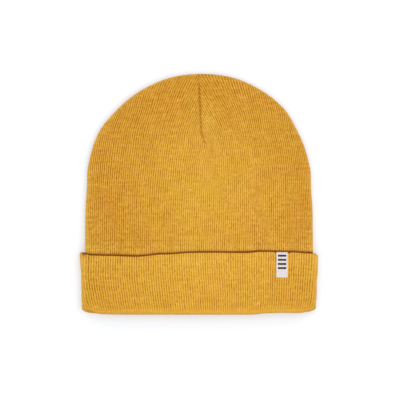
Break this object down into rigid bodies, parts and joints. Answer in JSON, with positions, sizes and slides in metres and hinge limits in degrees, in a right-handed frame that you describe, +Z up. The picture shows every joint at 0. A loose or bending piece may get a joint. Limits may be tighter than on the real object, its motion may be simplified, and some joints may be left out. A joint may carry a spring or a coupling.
{
  "type": "cuffed beanie",
  "caption": "Fine rib knit beanie with a rounded crown, dart seams, a turned-up cuff and a small woven tab label, lying flat.",
  "frame": {"origin": "on the table, under the middle of the hat's outline", "axes": "+Z up off the table, +Y from the mouth to the top of the crown, +X to the right as the hat is looked down on"},
  "size_m": [0.2146, 0.2176, 0.0219],
  "materials": {
    "crown_knit": "matte",
    "cuff_knit": "matte",
    "label_weave": "matte"
  },
  "bodies": {
    "root": {"crown": "crown_knit", "cuff": "cuff_knit", "label": "label_weave"}
  },
  "joints": []
}
